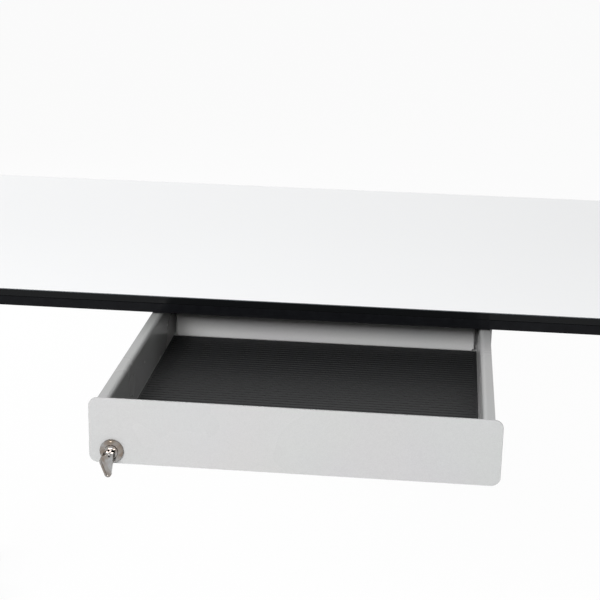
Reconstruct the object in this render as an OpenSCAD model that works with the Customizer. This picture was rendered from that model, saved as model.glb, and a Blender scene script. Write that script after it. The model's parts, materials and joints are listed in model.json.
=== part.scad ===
// Drafting table: a glass-faced top that tilts on two columns, with a lockable sheet-metal drawer under it.
// Millimetres. +X to the user's right, +Y to the back, +Z up, the floor at z = 0.

/* [Table top] */
// Width of the top, left to right
top_w = 1400; // [1200:10:1800]
// Depth of the top, front to back
top_d = 650; // [600:10:800]
// Height of the working surface above the floor
top_height = 750; // [700:5:900]
// Thickness of the glass
glass_t = 10; // [6:1:15]
// Thickness of the board under the glass
board_t = 12; // [12:1:25]
// Corner radius of the top in plan
top_corner_r = 12; // [6:1:40]
// Arris ground on the long edges of the glass
glass_arris = 0.8; // [0.5:0.1:2]
// Arris on the edges of the board
board_arris = 0.3; // [0.3:0.1:1.5]

/* [Drawer] */
// How far the drawer front stands ahead of the top's front edge
drawer_open = 305; // [150:5:330]
// Setback of the closed drawer front behind the top's front edge
drawer_recess = 15; // [5:1:40]
// Width of the drawer front
front_w = 450; // [440:5:560]
// Height of the drawer front
front_h = 76; // [74:1:110]
// Thickness of the drawer front
front_t = 2; // [1.5:0.1:3]
// Corner radius of the drawer front
front_corner_r = 10; // [4:1:20]
// Arris on the edges of the drawer front
front_arris = 0.4; // [0.2:0.1:0.6]
// Gap between the drawer front and the board above it
front_gap = 1.5; // [1:0.1:4]
// Width of the drawer inside
drawer_w = 406; // [360:2:420]
// Height of the drawer pan, from under its floor to the top of its flanges
pan_h = 58; // [50:0.5:64]
// Sheet thickness of the pan and of its back
pan_t = 1.2; // [0.8:0.1:1.6]
// Drop of the side flanges below the top of the drawer front
flange_drop = 2; // [1:0.5:4]
// Outside radius of the bend at the inner edge of each flange
flange_bend_r = 5; // [3:0.5:6]
// Height of the hem turned down at the outer edge of each flange
hem_h = 5; // [3:0.5:6]
// Inside radius of the other sheet bends
bend_r = 2; // [1:0.5:3]
// Distance of the back behind the slides
pan_tail = 17; // [8:0.5:40]
// Open joint between each side wall and the back
corner_gap = 3.5; // [1:0.5:6]
// Length of the foot and of the side returns of the back, turned to the rear
back_foot = 20; // [16:1:30]
// Length of the flange at the top of the back
back_flange = 8; // [5:1:12]
// Thickness of the drawer mat
mat_t = 2; // [1:0.5:3]
// Clear margin round the drawer mat
mat_margin = 0.5; // [0.3:0.1:2]

/* [Slides] */
// Length of each slide, closed, which is also its travel
slide_l = 350; // [340:5:500]
// Height of each slide
slide_h = 35; // [35:1:45]
// Thickness of each slide
slide_w = 12.7; // [12.7:0.1:14]
// Sheet thickness of the slide members
slide_t = 1.2; // [1:0.1:1.4]
// Distance of the slides behind the face of the drawer front
slide_setback = 25; // [20:1:45]
// Space between the flange's hem and the top of the slide
slide_headroom = 4; // [2:0.5:8]
// Diameter of the balls
ball_d = 4; // [3.5:0.1:4]
// Clearance between a ball and its race
ball_gap = 0.15; // [0.1:0.05:0.3]
// Length of a ball cage
cage_l = 120; // [80:5:130]
// Balls along one cage
balls_per_cage = 8; // [4:1:10]
// Thickness of a cage strip
cage_t = 0.8; // [0.6:0.1:1.2]

/* [Hangers] */
// Sheet thickness of the hangers
hanger_t = 2; // [1.5:0.1:3]
// Width of the flange screwed to the board
hanger_flange = 28; // [22:1:40]
// Reach of a hanger below its slide and behind it
hanger_margin = 5; // [3:1:10]
// Gap between the closed drawer front and the hangers
hanger_nose_gap = 8; // [4:1:9]

/* [Lock and key] */
// Distance of the lock's axis inside the drawer's left wall
lock_inset = 3.5; // [2:0.5:12]
// Height of the lock's axis above the lower edge of the drawer front
lock_up = 15; // [14:0.5:20]
// Diameter of the lock's flange
lock_flange_d = 26.5; // [20:0.5:28]
// Thickness of the lock's flange
lock_flange_t = 4; // [3:0.5:6]
// Diameter of the lock's barrel
barrel_d = 16; // [15:0.5:17]
// Length of the barrel behind the face of the drawer front
barrel_l = 22; // [20:0.5:24]
// Width across the flats of the lock's nut
lock_nut_af = 20; // [19:0.5:21]
// Thickness of the lock's nut
lock_nut_t = 3; // [2:0.5:5]
// Diameter of the plug's visible head
plug_head_d = 15; // [13:0.5:17]
// Height of the plug's head ahead of the flange
plug_head_t = 2; // [1:0.5:3]
// Diameter of the plug in its barrel
plug_d = 11; // [10:0.5:12]
// Thickness of the cam
cam_t = 2; // [1.5:0.5:3]
// Width of the cam
cam_w = 12; // [10:1:14]
// Reach of the locked cam beyond the strike plate
cam_overlap = 0.6; // [0.4:0.2:2]
// Width of the key blade
blade_w = 7; // [5:0.5:8]
// Thickness of the key blade
blade_t = 2; // [1.5:0.1:2.5]
// Length of the blade inside the plug
blade_l = 20; // [14:1:21]
// Distance of the key's hinge ahead of the plug's head
key_reach = 5; // [4.5:0.5:10]
// Width of the key bow
bow_w = 15; // [12:0.5:20]
// Length of the key bow from its hinge to its far end
bow_l = 27; // [22:0.5:36]
// Sideways set of the key bow's wide end from its hinge
bow_set = 3; // [0:0.5:4]
// Turn of the key bow's leaf about its wide end, back under the hinge, in degrees
bow_turn = 10; // [0:1:15]
// Thickness of the key bow
bow_t = 4; // [3.4:0.2:5]
// Radius of the key bow's narrow end
bow_tip_r = 3.8; // [3.2:0.1:5]
// Width of the raised rim round the key bow
bow_rim = 2; // [1.2:0.1:2.4]
// Depth of the panel sunk in each face of the key bow
bow_panel_depth = 0.8; // [0.4:0.1:1]
// Diameter of the key's hinge pin
key_pin_d = 1.8; // [1.5:0.1:2.2]
// Lean of the key from upright, in degrees
key_lean = 4; // [0:1:20]

/* [Tilt] */
// Largest tilt of the top, in degrees
tilt_max = 40; // [20:1:45]
// Distance of the tilt axis below the board
pivot_drop = 60; // [55:1:80]
// Diameter of the pivot pins
pivot_d = 14; // [10:1:16]
// Wall of the pivot bushes
bush_wall = 2; // [1.5:0.5:3]
// Thickness of the bush flange between a bracket and its column
bush_flange_t = 1.9; // [1.5:0.1:3]
// Plate thickness of the bracket's quadrant
quadrant_t = 6; // [4:1:8]
// Radius of the bracket's quadrant
quadrant_r = 95; // [88:1:110]
// Radius of the clamp slot
slot_r = 75; // [65:1:78]
// Diameter of the clamp studs
stud_d = 8; // [6:1:10]
// Length of the bracket's flange under the board
bracket_l = 360; // [240:10:480]
// Width of the bracket's flange
bracket_w = 60; // [45:1:80]
// Thickness of the bracket's flange
bracket_t = 5; // [4:1:8]
// Diameter of the tilt knobs over their lobes
knob_d = 50; // [40:1:60]
// Height of the tilt knobs
knob_h = 22; // [18:1:30]
// Lobes on each knob
knob_lobes = 6; // [5:1:8]
// Thickness of the clamp washers
washer_t = 2; // [1:0.5:3]

/* [Base] */
// Distance of the column's centre from the end of the top
column_inset = 45; // [42:1:120]
// Width of a column, left to right
column_w = 40; // [30:1:50]
// Depth of a column, front to back
column_d = 80; // [70:1:90]
// Wall of the column tube
column_wall = 2.5; // [2:0.1:4]
// Height of the column's top above the tilt axis
column_head = 25; // [18:1:32]
// Thickness of the base plate at the column's foot
base_plate_t = 6; // [4:1:10]
// Length of the base plate
base_plate_l = 140; // [125:1:200]
// Side of the square crossbeam tube
beam_size = 40; // [30:1:50]
// Wall of the crossbeam tube
beam_wall = 2; // [1.5:0.1:3]
// Drop of the crossbeam's top below the board
beam_drop = 70; // [60:1:90]
// Space between the crossbeam and the quadrants that swing ahead of it
beam_swing_gap = 5; // [3:1:30]
// Thickness of the plate that closes each beam stub
stub_plate_t = 5; // [4:1:8]
// Length of a foot bar
bar_l = 600; // [420:10:800]
// Width of a foot bar
bar_w = 50; // [46:1:80]
// Height of a foot bar
bar_h = 40; // [35:1:60]
// Wall of the foot bar tube
bar_wall = 2.5; // [2:0.1:4]
// Height of the foot bar above the floor
bar_clear = 25; // [24:1:40]
// Outside corner radius of the tubes
tube_r = 4; // [2:0.5:5]
// Thickness of the plastic end caps
cap_t = 4; // [2:0.5:8]
// Depth of the end caps inside their tubes
cap_plug = 12; // [8:1:20]
// Distance of the levelling feet from the ends of the bars
level_inset = 40; // [30:1:80]
// Diameter of the levelling feet
level_d = 42; // [30:1:56]
// Diameter of the levelling feet's threads
level_stud_d = 10; // [8:1:12]
// Length of the levelling feet's threads above the disc
level_stud_l = 44; // [40:1:46]

/* [Fasteners] */
// Diameter of the small screws, studs and nuts in the drawer and the hangers
screw_d = 4; // [3:0.5:4]
// Head diameter of the small screws
screw_head_d = 7.5; // [6:0.5:8]
// Head height of the small screws
screw_head_h = 1.6; // [1.2:0.1:1.8]
// Depth of the screws in the board
board_screw_l = 9; // [6:0.5:10]
// Diameter of the frame bolts
bolt_d = 8; // [6:1:8]
// Width across the flats of the frame bolts
bolt_af = 13; // [12:1:14]
// Head height of the frame bolts
bolt_head_h = 5.5; // [4:0.5:7]
// Length of a bolt past the last wall it goes through
bolt_tail = 8; // [5:1:10]
// Diameter of the rivets
rivet_d = 4.8; // [3:0.2:5]
// Radial clearance of pins, screws and shafts in their holes
fit = 0.05; // [0.02:0.01:0.08]

/* [Hidden] */
$fn = 64;
LEFT = -1;
RIGHT = 1;
SIDES = [LEFT, RIGHT];
FRONT = -1;
BACK = 1;
// Overshoot of a cutting shape past the face it cuts
cut = 1;
// Small air gap between flat faces that pass each other
slip = 0.1;
// Share of a head's width left at its top by the bevel
head_taper = 0.7;

// Heights of the top and of the drawer
under_z = top_height - glass_t - board_t;
panel_top = under_z - front_gap;
panel_z = panel_top - front_h;
flange_z = panel_top - flange_drop;
floor_z = flange_z - pan_h;
floor_top = floor_z + pan_t;
slide_z = flange_z - hem_h - slide_headroom - slide_h / 2;

// Places front to back: the key's bow is the foremost point, the top's back edge the last
key_y_ahead = lock_flange_t + plug_head_t + key_reach;
foremost = drawer_open + key_y_ahead + bow_t / 2;
edge_y = (foremost - top_d) / 2;
centre_y = edge_y + top_d / 2;
panel_y = edge_y - drawer_open;
slide_out = drawer_open + drawer_recess;
outer_y = edge_y + drawer_recess + slide_setback;
middle_y = outer_y - slide_out / 2;
inner_y = outer_y - slide_out;
cage_start = outer_y + (slide_l - cage_l) / 2;
back_y = inner_y + slide_l + pan_tail;
pan_end = back_y + pan_t + back_foot;

// Places across: the drawer's walls, the slides and the hangers
wall_x = drawer_w / 2;
slide_x = wall_x + pan_t;
hanger_x = slide_x + slide_w;
flange_edge = 0.9;
flange_x = hanger_x - flange_edge;
hanger_out = hanger_x + hanger_t;
hanger_front = edge_y + drawer_recess + front_t + hanger_nose_gap;
hanger_l = outer_y + slide_l + hanger_margin - hanger_front;

// Slide section, from the drawer's wall outwards: three nested channels with ball rows between them
race = ball_d + 2 * ball_gap;
middle_half = slide_h / 2 - slide_t - race;
inner_half = middle_half - slide_t - race;
outer_lip = 2;
outer_turn = 1.2;
middle_lip = 3.2;
middle_back = 9.2;
inner_lip = 7;
ball_u = 5.5;

// Fixings along a slide and along its hanger
slide_fixings = [for (part = [0.08, 0.5, 0.92]) part * slide_l];
hanger_fixings = [for (part = [0.12, 0.5, 0.88]) part * slide_l];
hanger_screw_x = hanger_out + hanger_flange / 2;

// Drawer front fixings: studs welded behind the front, nuts inside the pan
stud_l = 8;
nut_af = 7;
nut_t = 3.2;
front_wall_drop = 6;
front_wall_margin = 1;
front_wall_top = flange_z - front_wall_drop;
front_stud_z = (floor_top + front_wall_top) / 2;
front_stud_x = [for (part = [-0.38, -0.13, 0.13, 0.38]) part * drawer_w];
front_wall_w = drawer_w - 2 * (bend_r + front_wall_margin);
front_stud_hole = screw_d + 2 * fit;

// Back fixings: rivets through its foot and the pan's floor
rivet_x = [for (part = [-0.36, -0.12, 0.12, 0.36]) part * drawer_w];
rivet_y = pan_end - back_foot / 2;
rivet_head_ratio = 1.8;
rivet_head_d = rivet_head_ratio * rivet_d;
rivet_head_h = 1.4;
back_w = drawer_w - 2 * corner_gap;
back_corner = pan_t + bend_r;
back_lip_gap = 0.3;

// Lock: the barrel stands in a notch at the pan's front left corner, the cam turns behind it
lock_nut_r = lock_nut_af / 2 / cos(30);
lock_x = -(wall_x - lock_inset);
lock_z = panel_z + lock_up;
cam_y = panel_y + barrel_l + slip;
cam_reach = hanger_out + cam_overlap + lock_x;
cam_screw_d = 5;
cam_screw_l = 8;
cam_screw_gap = 1;
cam_screw_head_d = 9;
cam_screw_head_h = 2.5;
notch_gap = 2;
notch_x = lock_x + max(lock_nut_r, cam_reach) + notch_gap;
notch_y = cam_y + cam_t + cam_screw_head_h + notch_gap;
notch_z = lock_z + lock_nut_r + notch_gap;
plug_bore_depth = 3;
plug_bevel = 0.8;
strike_gap = 1.5;
strike_w = 8;
lock_flange_bevel = 1.5;

// Key
blade_gap = 0.15;
key_pin_y = panel_y - key_y_ahead;
eye_d = 5;
eye_gap = 0.2;
blade_collar = 1;
fork_depth = 2.8;
bow_drop = 8.7;
bow_run = bow_l - bow_drop - bow_tip_r;
flank_inset = 0.1;
bow_shoulder_d = 8;

// Tilt axis and what turns about it
column_x = top_w / 2 - column_inset;
column_in = column_x - column_w / 2;
pivot_z = under_z - pivot_drop;
quadrant_x = column_in - bush_flange_t - slip - quadrant_t;
bush_d = pivot_d + 2 * (fit + bush_wall);
bush_flange_w = 5;
bush_flange_d = bush_d + 2 * bush_flange_w;
clamp_z = pivot_z - slot_r;
slot_play = 0.3;
slot_w = stud_d + 2 * slot_play;
slot_margin = 1.5;
slot_end_relief = 0.3;
pin_head_d = 26;
pin_head_t = 4;
pivot_nut_af = 22;
pivot_nut_t = 8;
washer_ratio = 3;
washer_d = washer_ratio * stud_d;
stud_head_ratio = 2.2;
stud_head_d = stud_head_ratio * stud_d;
stud_head_t = 5;
knob_boss_d = 24;
knob_boss_h = 5;
knob_roof = 4;
knob_bore = knob_h - knob_roof;
bracket_x = quadrant_x + quadrant_t - bracket_w;
bracket_screw_x = bracket_x + bracket_w / 3;
bracket_screw_y = [for (part = [-0.42, -0.14, 0.14, 0.42]) part * bracket_l];

// Base
bar_top = bar_clear + bar_h;
column_top = pivot_z + column_head;
column_foot = bar_top + base_plate_t;
column_back = centre_y + column_d / 2;
beam_z = under_z - beam_drop - beam_size / 2;
stub_l = quadrant_r + beam_swing_gap - column_d / 2;
beam_y = column_back + stub_l + beam_size / 2;
cap_bolt_gap = 2;
beam_overhang = cap_plug + cap_bolt_gap;
beam_l = 2 * (column_x + column_w / 2 + beam_overhang);
beam_bolt_x = column_w / 4;
column_bolt_y = (base_plate_l + column_d) / 4;
level_y = bar_l / 2 - level_inset;
level_nut_af = 17;
level_nut_t = 8;
level_disc_h = 6;
level_cone_h = 12;
level_neck_d = 16;

// Colours of the finishes
silver = "#c9cacb";
zinc = "#b4b8bb";
chrome = "#d9dbdd";
black = "#1b1c1e";
white = "#f4f5f6";

// Shape helpers

// Right-hand side as drawn, left-hand side mirrored
module on_side(side) {
    if (side == LEFT) mirror([1, 0, 0]) children();
    else children();
}

// A section drawn as (y, z), pulled along +X
module pull_x(from, length) {
    translate([from, 0, 0]) rotate([90, 0, 90]) linear_extrude(length) children();
}

// A section drawn as (x, z), pulled along +Y
module pull_y(from, length) {
    translate([0, from + length, 0]) rotate([90, 0, 0]) linear_extrude(length) children();
}

module rod_x(at, length, d) { translate(at) rotate([0, 90, 0]) cylinder(h = length, d = d); }
module rod_y(at, length, d) { translate(at) rotate([-90, 0, 0]) cylinder(h = length, d = d); }
module rod_z(at, length, d) { translate(at) cylinder(h = length, d = d); }

// A block given by its lowest and highest corners
module block(low, high) { translate(low) cube(high - low); }

module rounded(size, r) {
    square([size[0] - 2 * r, size[1]], center = true);
    square([size[0], size[1] - 2 * r], center = true);
    for (sx = SIDES, sy = SIDES)
        translate([sx * (size[0] / 2 - r), sy * (size[1] / 2 - r)]) circle(r);
}

// A quarter of a ring about a bend's centre, in the quadrant that the two signs name
module bend(centre, inner_r, t, sx, sy) {
    reach = inner_r + t;
    translate(centre) intersection() {
        difference() {
            circle(reach);
            circle(inner_r);
        }
        translate([min(sx * reach, 0), min(sy * reach, 0)]) square(reach);
    }
}

function arris_section(half, t, a) = [
    [-half + a, 0], [half - a, 0], [half, a], [half, t - a],
    [half - a, t], [-half + a, t], [-half, t - a], [-half, a]
];

// A plate with round corners in plan and an arris all round both faces
module edged_plate(size, r, a) {
    half_w = size[0] / 2;
    half_d = size[1] / 2;
    t = size[2];
    pull_x(-half_w + r, 2 * (half_w - r)) polygon(arris_section(half_d, t, a));
    pull_y(-half_d + r, 2 * (half_d - r)) polygon(arris_section(half_w, t, a));
    for (sx = SIDES, sy = SIDES)
        translate([sx * (half_w - r), sy * (half_d - r), 0])
            rotate_extrude() polygon([[0, 0], [r - a, 0], [r, a], [r, t - a], [r - a, t], [0, t]]);
}

module hex(af, h) { cylinder(h = h, d = af / cos(30), $fn = 6); }

// A screw along Z: bevelled head above z = 0, shank below it
module screw(head_d, head_h, shank_d, shank_l) {
    cylinder(h = head_h, d1 = head_d, d2 = head_taper * head_d);
    translate([0, 0, -shank_l]) cylinder(h = shank_l, d = shank_d);
}

module small_screw(shank_l) { screw(screw_head_d, screw_head_h, screw_d, shank_l); }

module hex_bolt(shank_l) {
    hex(bolt_af, bolt_head_h);
    translate([0, 0, -shank_l]) cylinder(h = shank_l, d = bolt_d);
}

module hex_nut(af, h, bore) {
    difference() {
        hex(af, h);
        translate([0, 0, -cut]) cylinder(h = h + 2 * cut, d = bore + 2 * fit);
    }
}

// A plastic plug in the end of a tube: face plate at z = 0 and above, plug below
module end_cap(size, wall) {
    linear_extrude(cap_t) rounded(size, tube_r);
    translate([0, 0, -cap_plug]) linear_extrude(cap_plug)
        square([size[0] - 2 * (wall + fit), size[1] - 2 * (wall + fit)], center = true);
}

module tube_section(size, wall) {
    difference() {
        rounded(size, tube_r);
        square([size[0] - 2 * wall, size[1] - 2 * wall], center = true);
    }
}

// Foot bars and levelling feet

module level_places(side) {
    for (end = [FRONT, BACK]) translate([side * column_x, centre_y + end * level_y, 0]) children();
}

module foot_bar(side) {
    color(silver) difference() {
        translate([side * column_x, 0, bar_clear + bar_h / 2])
            pull_y(centre_y - bar_l / 2, bar_l) tube_section([bar_w, bar_h], bar_wall);
        level_places(side) rod_z([0, 0, bar_clear - cut], bar_wall + 2 * cut, level_stud_d + 2 * fit);
        for (end = [FRONT, BACK])
            rod_z([side * column_x, centre_y + end * column_bolt_y, bar_top - bar_wall - cut],
                bar_wall + 2 * cut, bolt_d + 2 * fit);
    }
}

module foot_caps() {
    color(black) for (side = SIDES, end = [FRONT, BACK])
        translate([side * column_x, centre_y + end * bar_l / 2, bar_clear + bar_h / 2])
            rotate([-end * 90, 0, 0]) end_cap([bar_w, bar_h], bar_wall);
}

module foot_nuts() {
    color(zinc) for (side = SIDES) level_places(side)
        translate([0, 0, bar_clear + bar_wall]) hex_nut(level_nut_af, level_nut_t, level_stud_d);
}

module levelling_foot(side, end) {
    color(black) translate([side * column_x, centre_y + end * level_y, 0]) {
        cylinder(h = level_disc_h, d = level_d);
        translate([0, 0, level_disc_h])
            cylinder(h = level_cone_h - level_disc_h, d1 = level_d, d2 = level_neck_d);
        translate([0, 0, level_cone_h]) cylinder(h = level_stud_l, d = level_stud_d);
    }
}

// Columns and crossbeam

module column_bolt_places() {
    for (side = SIDES, end = [FRONT, BACK])
        translate([side * column_x, centre_y + end * column_bolt_y, column_foot]) children();
}

module beam_bolt_places() {
    for (side = SIDES, step = SIDES)
        translate([side * column_x + step * beam_bolt_x, beam_y + beam_size / 2, beam_z]) children();
}

// A short tube welded to the column's back, closed by the plate that the beam is bolted to
module beam_stub() {
    pull_y(column_back, stub_l - stub_plate_t) tube_section([column_w, beam_size], column_wall);
    pull_y(column_back + stub_l - stub_plate_t, stub_plate_t) rounded([column_w, beam_size], tube_r);
}

module column(side) {
    color(silver) difference() {
        union() {
            translate([side * column_x, centre_y, column_foot])
                linear_extrude(column_top - column_foot) tube_section([column_w, column_d], column_wall);
            translate([side * column_x, centre_y, bar_top])
                linear_extrude(base_plate_t) rounded([bar_w, base_plate_l], tube_r);
            translate([side * column_x, 0, beam_z]) beam_stub();
        }
        on_side(side) {
            rod_x([column_in - cut, centre_y, pivot_z], column_w + 2 * cut, pivot_d + 2 * fit);
            rod_x([column_in - cut, centre_y, clamp_z], column_wall + 2 * cut, stud_d + 2 * fit);
        }
        beam_bolt_places()
            rod_y([0, -beam_size - stub_plate_t - cut, 0], stub_plate_t + 2 * cut, bolt_d + 2 * fit);
        column_bolt_places() rod_z([0, 0, -base_plate_t - cut], base_plate_t + 2 * cut, bolt_d + 2 * fit);
    }
}

module column_caps() {
    color(black) for (side = SIDES)
        translate([side * column_x, centre_y, column_top]) end_cap([column_w, column_d], column_wall);
}

module column_bolts() {
    color(zinc) column_bolt_places() hex_bolt(base_plate_t + bar_wall + bolt_tail);
}

module crossbeam() {
    color(silver) difference() {
        translate([0, beam_y, beam_z])
            pull_x(-beam_l / 2, beam_l) tube_section([beam_size, beam_size], beam_wall);
        beam_bolt_places() rod_y([0, -beam_size - cut, 0], beam_size + 2 * cut, bolt_d + 2 * fit);
    }
}

module crossbeam_caps() {
    color(black) for (side = SIDES)
        translate([side * beam_l / 2, beam_y, beam_z])
            rotate([0, side * 90, 0]) end_cap([beam_size, beam_size], beam_wall);
}

module crossbeam_bolts() {
    color(zinc) beam_bolt_places()
        rotate([-90, 0, 0]) hex_bolt(beam_size + stub_plate_t + bolt_tail);
}

// Tilt mechanism

module pivot_pins() {
    inner_end = quadrant_x - slip - pivot_nut_t;
    outer_end = column_x + column_w / 2;
    color(zinc) for (side = SIDES) on_side(side) {
        rod_x([inner_end, centre_y, pivot_z], outer_end - inner_end, pivot_d);
        translate([outer_end, centre_y, pivot_z]) rotate([0, 90, 0])
            cylinder(h = pin_head_t, d1 = pin_head_d, d2 = head_taper * pin_head_d);
    }
}

module pivot_nuts() {
    color(zinc) for (side = SIDES) on_side(side)
        translate([quadrant_x - slip - pivot_nut_t, centre_y, pivot_z])
            rotate([0, 90, 0]) hex_nut(pivot_nut_af, pivot_nut_t, pivot_d);
}

module pivot_bushes() {
    length = quadrant_t + bush_flange_t;
    color(black) for (side = SIDES) on_side(side) difference() {
        union() {
            rod_x([quadrant_x, centre_y, pivot_z], length, bush_d);
            rod_x([quadrant_x + quadrant_t, centre_y, pivot_z], bush_flange_t, bush_flange_d);
        }
        rod_x([quadrant_x - cut, centre_y, pivot_z], length + 2 * cut, pivot_d + 2 * fit);
    }
}

// Clamp slot about the tilt axis: the stud stands at its end when the top lies flat
module clamp_slot() {
    first = -90 - tilt_max - slot_margin;
    last = -90 + slot_margin;
    middle = (first + last) / 2;
    far = 2 * slot_r;
    intersection() {
        difference() {
            circle(slot_r + slot_w / 2);
            circle(slot_r - slot_w / 2);
        }
        polygon([[0, 0], far * [cos(first), sin(first)], far * [cos(middle), sin(middle)],
            far * [cos(last), sin(last)]]);
    }
    for (angle = [first, last]) rotate(angle) translate([slot_r, 0]) circle(d = slot_w - slot_end_relief);
}

module quadrant_section() {
    difference() {
        intersection() {
            circle(quadrant_r);
            translate([-quadrant_r, -quadrant_r])
                square([2 * quadrant_r, quadrant_r + pivot_drop]);
        }
        circle(d = bush_d + 2 * fit);
        clamp_slot();
    }
}

module bracket_screw_places() {
    for (y = bracket_screw_y) translate([bracket_screw_x, centre_y + y, under_z]) children();
}

module tilt_bracket(side) {
    color(silver) on_side(side) difference() {
        union() {
            translate([0, centre_y, pivot_z]) pull_x(quadrant_x, quadrant_t) quadrant_section();
            block([bracket_x, centre_y - bracket_l / 2, under_z - bracket_t],
                [bracket_x + bracket_w, centre_y + bracket_l / 2, under_z]);
        }
        bracket_screw_places() rod_z([0, 0, -bracket_t - cut], bracket_t + 2 * cut, screw_d + 2 * fit);
    }
}

module bracket_screws() {
    color(zinc) for (side = SIDES) on_side(side) bracket_screw_places()
        translate([0, 0, -bracket_t]) rotate([180, 0, 0]) small_screw(bracket_t + board_screw_l);
}

module clamp_studs() {
    inner_end = quadrant_x - slip - washer_t - knob_bore;
    head_at = column_in + column_wall;
    color(zinc) for (side = SIDES) on_side(side) {
        rod_x([inner_end, centre_y, clamp_z], head_at - inner_end, stud_d);
        rod_x([head_at, centre_y, clamp_z], stud_head_t, stud_head_d);
    }
}

module clamp_washers() {
    color(zinc) for (side = SIDES) on_side(side) difference() {
        rod_x([quadrant_x - slip - washer_t, centre_y, clamp_z], washer_t, washer_d);
        rod_x([quadrant_x - slip - washer_t - cut, centre_y, clamp_z], washer_t + 2 * cut, stud_d + 2 * fit);
    }
}

module knob_section() {
    lobe_d = knob_d / 3;
    circle(d = knob_d - lobe_d / 2);
    for (lobe = [0 : knob_lobes - 1])
        rotate(lobe * 360 / knob_lobes) translate([(knob_d - lobe_d) / 2, 0]) circle(d = lobe_d);
}

module tilt_knob(side) {
    seat = quadrant_x - slip - washer_t - slip;
    color(black) on_side(side) difference() {
        union() {
            translate([0, centre_y, clamp_z])
                pull_x(seat - knob_h, knob_h - knob_boss_h) knob_section();
            rod_x([seat - knob_boss_h, centre_y, clamp_z], knob_boss_h, knob_boss_d);
        }
        rod_x([seat - knob_bore - slip, centre_y, clamp_z], knob_bore + slip + cut, stud_d + 2 * fit);
    }
}

// Table top

module glass_top() {
    color(white) translate([0, centre_y, under_z + board_t])
        edged_plate([top_w, top_d, glass_t], top_corner_r, glass_arris);
}

module hanger_screw_places() {
    for (along = hanger_fixings) translate([hanger_screw_x, outer_y + along, under_z]) children();
}

module top_board() {
    hole_l = board_screw_l + slip;
    color(black) difference() {
        translate([0, centre_y, under_z]) edged_plate([top_w, top_d, board_t], top_corner_r, board_arris);
        for (side = SIDES) on_side(side) {
            bracket_screw_places() rod_z([0, 0, -cut], hole_l + cut, screw_d + 2 * fit);
            hanger_screw_places() rod_z([0, 0, -cut], hole_l + cut, screw_d + 2 * fit);
        }
    }
}

// Hangers and slides

module slide_fixing_places(from) {
    for (along = slide_fixings) translate([0, from + along, slide_z]) children();
}

module hanger_section() {
    low = slide_z - slide_h / 2 - hanger_margin;
    corner = [hanger_x + hanger_t + bend_r, under_z - hanger_t - bend_r];
    translate([hanger_x, low]) square([hanger_t, corner[1] - low]);
    bend(corner, bend_r, hanger_t, LEFT, 1);
    translate([corner[0], under_z - hanger_t]) square([hanger_out + hanger_flange - corner[0], hanger_t]);
}

// The tab that the locked cam turns behind when the drawer is shut
module strike_section() {
    back = cam_y + slide_out - strike_gap;
    low = lock_z - cam_w / 2;
    translate([back - strike_w, low]) square([strike_w, slide_z - slide_h / 2 - low]);
}

module hanger(side) {
    color(silver) on_side(side) difference() {
        union() {
            pull_y(hanger_front, hanger_l) hanger_section();
            if (side == LEFT) pull_x(hanger_x, hanger_t) strike_section();
        }
        hanger_screw_places() rod_z([0, 0, -hanger_t - cut], hanger_t + 2 * cut, screw_d + 2 * fit);
        slide_fixing_places(outer_y) rod_x([hanger_x - cut, 0, 0], hanger_t + 2 * cut, screw_d + 2 * fit);
    }
}

module hanger_screws() {
    color(zinc) for (side = SIDES) on_side(side) hanger_screw_places()
        translate([0, 0, -hanger_t]) rotate([180, 0, 0]) small_screw(hanger_t + board_screw_l);
}

// A channel of half height half, from its lips at u = lip to its web's back at u = back
module channel(half, lip, back) {
    from = min(lip, back);
    web = lip < back ? back - slide_t : back;
    translate([slide_x + from, slide_z]) {
        for (end = SIDES) translate([0, end * (half - slide_t / 2) - slide_t / 2])
            square([abs(back - lip), slide_t]);
        translate([web - from, -half]) square([slide_t, 2 * half]);
    }
}

// The edges of the outer member, turned in to keep its balls
module outer_lips() {
    reach = slide_t + outer_turn;
    for (end = SIDES) translate([slide_x + outer_lip, slide_z + end * (slide_h - reach) / 2 - reach / 2])
        square([slide_t, reach]);
}

// A member with its fixing holes through the web, whose inner face is at u = hole_u
module slide_member(from, hole_u) {
    color(zinc) difference() {
        pull_y(from, slide_l) children();
        slide_fixing_places(from) rod_x([slide_x + hole_u - cut, 0, 0], slide_t + 2 * cut, screw_d + 2 * fit);
    }
}

module slide_outer(side) {
    on_side(side) slide_member(outer_y, slide_w - slide_t) {
        union() {
            channel(slide_h / 2, outer_lip, slide_w);
            outer_lips();
        }
    }
}

module slide_middle(side) {
    color(zinc) on_side(side) pull_y(middle_y, slide_l) channel(middle_half, middle_lip, middle_back);
}

module slide_inner(side) {
    on_side(side) slide_member(inner_y, 0) channel(inner_half, inner_lip, 0);
}

module slide_outer_screws() {
    color(zinc) for (side = SIDES) on_side(side) slide_fixing_places(outer_y)
        translate([hanger_x - slide_t, 0, 0]) rotate([0, -90, 0]) small_screw(slide_t + hanger_t);
}

module slide_inner_screws() {
    color(zinc) for (side = SIDES) on_side(side) slide_fixing_places(inner_y)
        translate([slide_x + slide_t, 0, 0]) rotate([0, 90, 0]) small_screw(pan_t + slide_t);
}

// Two rows of balls in their strips, above and below the member that they carry
module ball_cages(from, row_half) {
    ball_pitch = cage_l / balls_per_cage;
    color(zinc) for (side = SIDES, row = SIDES) on_side(side)
        translate([slide_x + ball_u, from, slide_z + row * row_half]) {
            translate([-ball_d / 2, 0, -cage_t / 2]) cube([ball_d, cage_l, cage_t]);
            for (ball = [0 : balls_per_cage - 1])
                translate([0, (ball + 0.5) * ball_pitch, 0]) sphere(d = ball_d);
        }
}

module outer_ball_cages() { ball_cages(cage_start - slide_out / 4, middle_half + race / 2); }
module inner_ball_cages() { ball_cages(cage_start - 3 * slide_out / 4, inner_half + race / 2); }

// Drawer

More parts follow.
